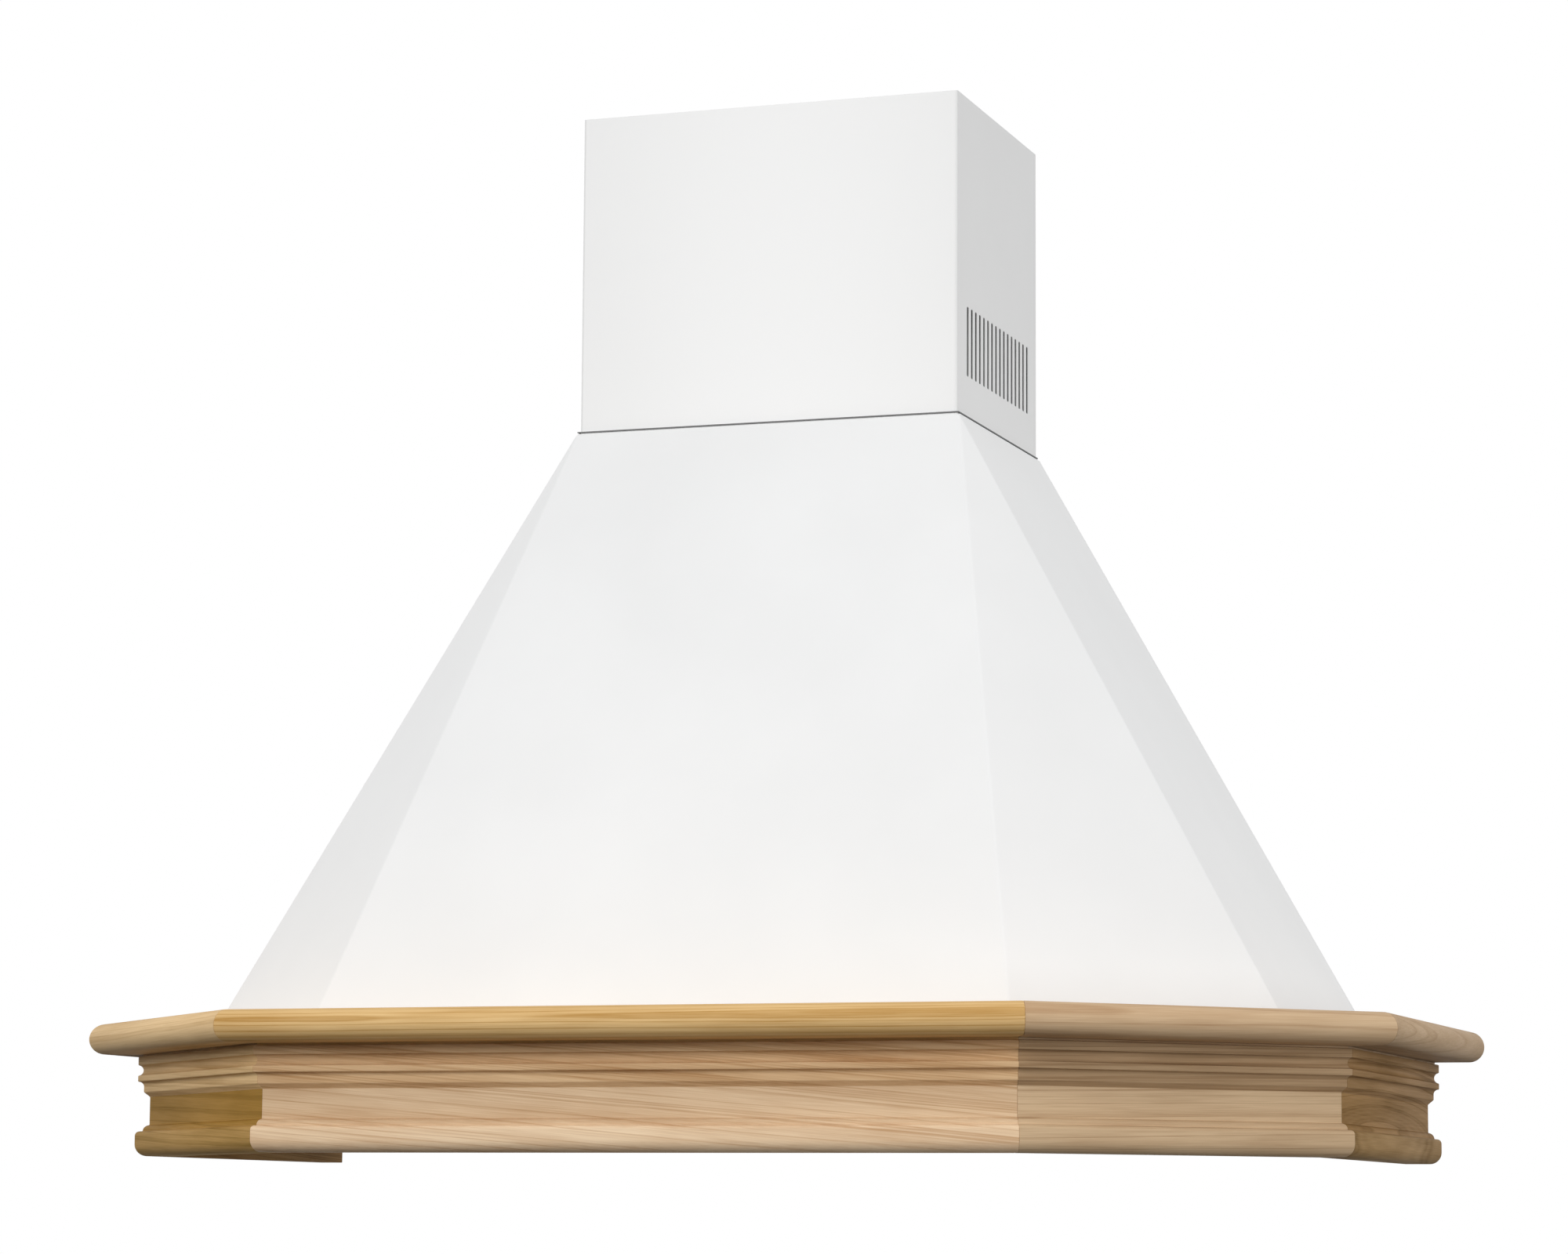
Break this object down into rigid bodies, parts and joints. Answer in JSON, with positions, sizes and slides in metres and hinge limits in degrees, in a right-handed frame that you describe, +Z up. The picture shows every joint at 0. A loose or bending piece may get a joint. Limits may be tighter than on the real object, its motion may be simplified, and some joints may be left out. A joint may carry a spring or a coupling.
{
  "type": "chimney range hood",
  "caption": "Wall-hung kitchen extractor hood: white pyramid canopy and sliding chimney on a moulded wooden cornice shelf with angled corners; blower, filters, lamps and buttons beneath.",
  "frame": {"origin": "middle of the rectangle of wall fixing holes, in the wall plane at the back panel's rear face", "axes": "+Z up, +Y into the wall, +X to the right as seen from the room"},
  "size_m": [0.9, 0.48, 0.72],
  "materials": {
    "white_paint": "satin",
    "grey_paint": "satin",
    "galvanised_steel": "satin",
    "wood_golden": "raw",
    "wood_beige": "raw",
    "wood_rose": "raw",
    "wood_tan": "raw",
    "wood_brown": "raw",
    "dark_seal": "matte",
    "filter_aluminium": "satin",
    "black_plastic": "matte",
    "button_plastic": "satin",
    "housing_plastic": "matte",
    "box_plastic": "matte",
    "lamp_frame_steel": "satin",
    "lamp_diffuser": "frosted",
    "lamp_tray_steel": "satin",
    "bright_steel": "bright",
    "capacitor_can": "gloss"
  },
  "bodies": {
    "hood": {"back_panel": "galvanised_steel", "blower_bearer_left": "galvanised_steel", "blower_bearer_right": "galvanised_steel", "blower_housing_left": "housing_plastic", "blower_housing_right": "housing_plastic", "blower_screws": "bright_steel", "cable_gland": "black_plastic", "canopy": "white_paint", "canopy_screws": "bright_steel", "capacitor": "capacitor_can", "corner_blocks": "wood_tan", "cornice_corner_left": "wood_brown", "cornice_corner_right": "wood_tan", "cornice_front": "wood_rose", "cornice_side_left": "wood_brown", "cornice_side_right": "wood_brown", "duct_spigot": "housing_plastic", "flap_pin": "bright_steel", "front_panel": "grey_paint", "lamp_cover_left": "lamp_diffuser", "lamp_cover_right": "lamp_diffuser", "lamp_frame_left": "lamp_frame_steel", "lamp_frame_right": "lamp_frame_steel", "lamp_tray_left": "lamp_tray_steel", "lamp_tray_right": "lamp_tray_steel", "motor": "lamp_tray_steel", "motor_spider": "galvanised_steel", "neck_seal": "dark_seal", "panel_screws": "bright_steel", "rear_rail": "grey_paint", "shelf_corner_left": "wood_beige", "shelf_corner_right": "wood_rose", "shelf_front": "wood_golden", "shelf_side_left": "wood_tan", "shelf_side_right": "wood_tan", "side_panel_left": "grey_paint", "side_panel_right": "grey_paint", "switch_bezel": "black_plastic", "switch_box": "box_plastic", "terminal_box": "box_plastic", "terminal_cover": "box_plastic"},
    "chimney": {"chimney": "white_paint", "chimney_strap": "galvanised_steel", "vent_deflector_left": "black_plastic", "vent_deflector_right": "black_plastic"},
    "fan": {"fan_wheel": "housing_plastic", "fan_shaft": "bright_steel"},
    "flap_front": {"flap_front": "housing_plastic"},
    "flap_rear": {"flap_rear": "housing_plastic"},
    "filter_left": {"filter_rim_left": "filter_aluminium", "filter_mesh_left": "filter_aluminium"},
    "filter_right": {"filter_rim_right": "filter_aluminium", "filter_mesh_right": "filter_aluminium"},
    "latch_left": {"filter_latch_left": "black_plastic"},
    "latch_right": {"filter_latch_right": "black_plastic"},
    "button_off": {"button_off": "button_plastic"},
    "button_low": {"button_low": "button_plastic"},
    "button_middle": {"button_middle": "button_plastic"},
    "button_high": {"button_high": "button_plastic"},
    "button_light": {"button_light": "button_plastic"}
  },
  "joints": [
    {"name": "chimney_slide", "type": "slide", "parent": "hood", "child": "chimney", "axis": [0, 0, 1], "range_m": [-0.1, 0.02]},
    {"name": "fan_spin", "type": "hinge", "parent": "hood", "child": "fan", "pos_m": [0, -0.15, -0.185], "axis": [1, 0, 0], "continuous": true},
    {"name": "flap_front_hinge", "type": "hinge", "parent": "hood", "child": "flap_front", "pos_m": [0, -0.0975, -0.0611], "axis": [-1, 0, 0], "range_deg": [0, 80]},
    {"name": "flap_rear_hinge", "type": "hinge", "parent": "hood", "child": "flap_rear", "pos_m": [0, -0.0975, -0.0611], "axis": [1, 0, 0], "range_deg": [0, 80]},
    {"name": "filter_left_hinge", "type": "hinge", "parent": "hood", "child": "filter_left", "pos_m": [0, -0.036, -0.3735], "axis": [1, 0, 0], "range_deg": [0, 85]},
    {"name": "filter_right_hinge", "type": "hinge", "parent": "hood", "child": "filter_right", "pos_m": [0, -0.036, -0.3735], "axis": [1, 0, 0], "range_deg": [0, 85]},
    {"name": "latch_left_slide", "type": "slide", "parent": "filter_left", "child": "latch_left", "axis": [0, 1, 0], "range_m": [0, 0.005], "stiffness_N_per_m": 400},
    {"name": "latch_right_slide", "type": "slide", "parent": "filter_right", "child": "latch_right", "axis": [0, 1, 0], "range_m": [0, 0.005], "stiffness_N_per_m": 400},
    {"name": "button_off_press", "type": "slide", "parent": "hood", "child": "button_off", "axis": [0, 0, 1], "range_m": [0, 0.0025], "stiffness_N_per_m": 300},
    {"name": "button_low_press", "type": "slide", "parent": "hood", "child": "button_low", "axis": [0, 0, 1], "range_m": [0, 0.0025], "stiffness_N_per_m": 300},
    {"name": "button_middle_press", "type": "slide", "parent": "hood", "child": "button_middle", "axis": [0, 0, 1], "range_m": [0, 0.0025], "stiffness_N_per_m": 300},
    {"name": "button_high_press", "type": "slide", "parent": "hood", "child": "button_high", "axis": [0, 0, 1], "range_m": [0, 0.0025], "stiffness_N_per_m": 300},
    {"name": "button_light_press", "type": "slide", "parent": "hood", "child": "button_light", "axis": [0, 0, 1], "range_m": [0, 0.0025], "stiffness_N_per_m": 300}
  ]
}
